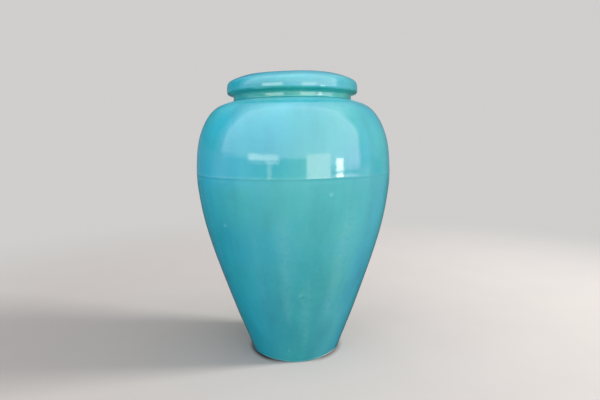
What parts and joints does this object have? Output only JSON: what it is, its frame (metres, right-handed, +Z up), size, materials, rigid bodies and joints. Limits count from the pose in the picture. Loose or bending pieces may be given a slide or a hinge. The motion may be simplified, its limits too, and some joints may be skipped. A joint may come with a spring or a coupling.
{
  "type": "handleless amphora jar",
  "caption": "Tall glazed oil jar of amphora form, without handles: small foot, tapering body with a ridge at its widest level, short undercut neck and thick rolled rim.",
  "frame": {"origin": "centre of the foot, on the ground plane the jar stands on", "axes": "+Z up along the jar's axis, towards the mouth; the jar is round, so X and Y are any two level directions"},
  "size_m": [0.3529, 0.353, 0.508],
  "materials": {
    "clay": "fired buff earthenware, matt and slightly gritty, bare only around and under the foot",
    "slip": "fired slip, a little paler and smoother than the clay",
    "glaze_outer": "glossy turquoise glaze, softly mottled and streaked, deeper where it pools",
    "glaze_inner": "glossy turquoise liner glaze, a little darker and thinner than outside"
  },
  "bodies": {
    "root": {"base_disc": "clay", "base_slip": "slip", "lower_body": "clay", "seam_slip": "slip", "shoulder": "clay", "neck_slip": "slip", "neck_collar": "clay", "rolled_rim": "clay", "outer_glaze": "glaze_outer", "inner_glaze": "glaze_inner"}
  },
  "joints": []
}
